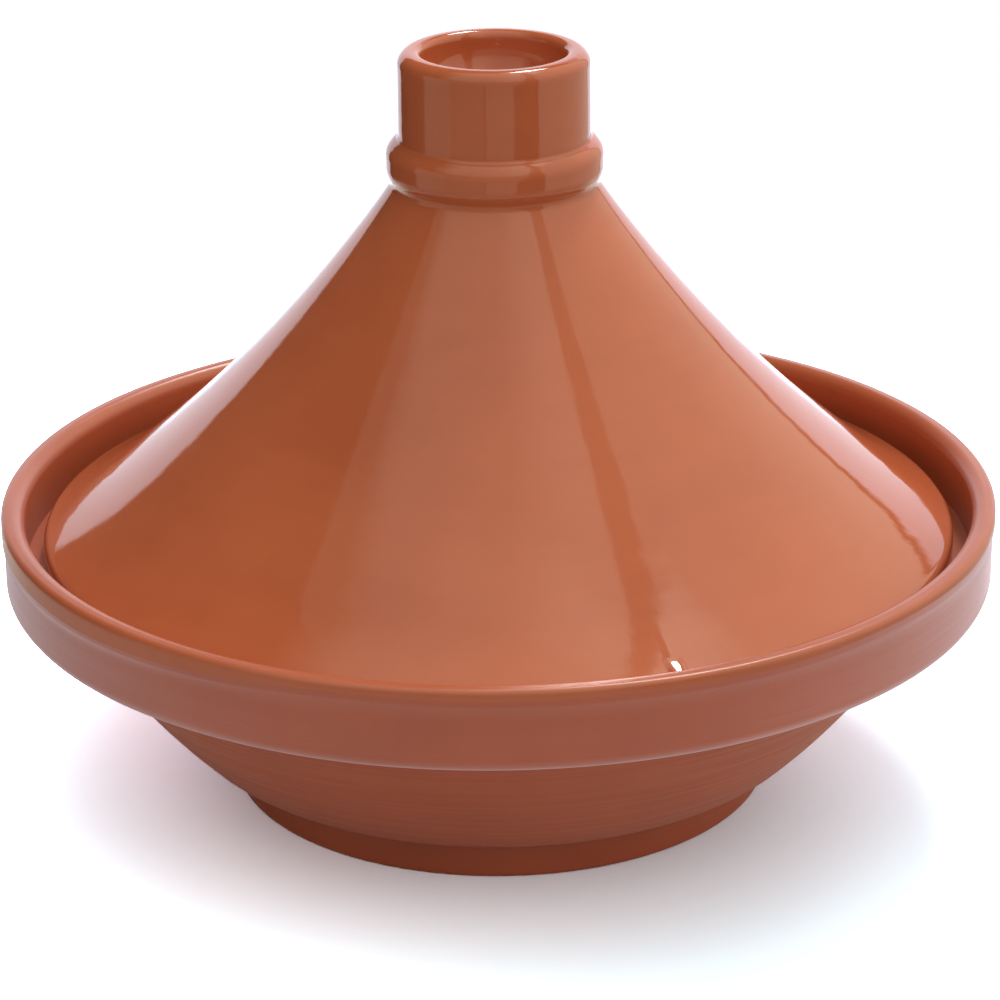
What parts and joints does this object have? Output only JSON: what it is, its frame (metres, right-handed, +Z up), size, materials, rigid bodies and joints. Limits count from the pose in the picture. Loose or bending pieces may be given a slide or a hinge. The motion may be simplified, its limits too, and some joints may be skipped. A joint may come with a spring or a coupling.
{
  "type": "tagine pot",
  "caption": "Earthenware tagine: a footed round dish with a gallery rim, and a conical glazed lid with a hollow neck, which lifts off.",
  "frame": {"origin": "centre of the foot, on the surface that the pot stands on", "axes": "+Z up along the pot's turning axis, through the dish and the lid; -Y faces the viewer of the picture"},
  "size_m": [0.3112, 0.3112, 0.2352],
  "materials": {
    "bare_terracotta": "fired red clay, burnished to a satin face, unglazed",
    "glazed_terracotta": "fired red clay under a clear glossy glaze"
  },
  "bodies": {
    "dish": {"foot_ring": "bare_terracotta", "bowl": "bare_terracotta", "gallery_ledge": "bare_terracotta", "rim_band": "glazed_terracotta"},
    "lid": {"lid_cone": "glazed_terracotta", "neck_bead": "glazed_terracotta", "neck_cup": "glazed_terracotta"}
  },
  "joints": [
    {"name": "lid_lift", "type": "slide", "parent": "dish", "child": "lid", "axis": [0, 0, 1], "range_m": [0, 0.15]}
  ]
}
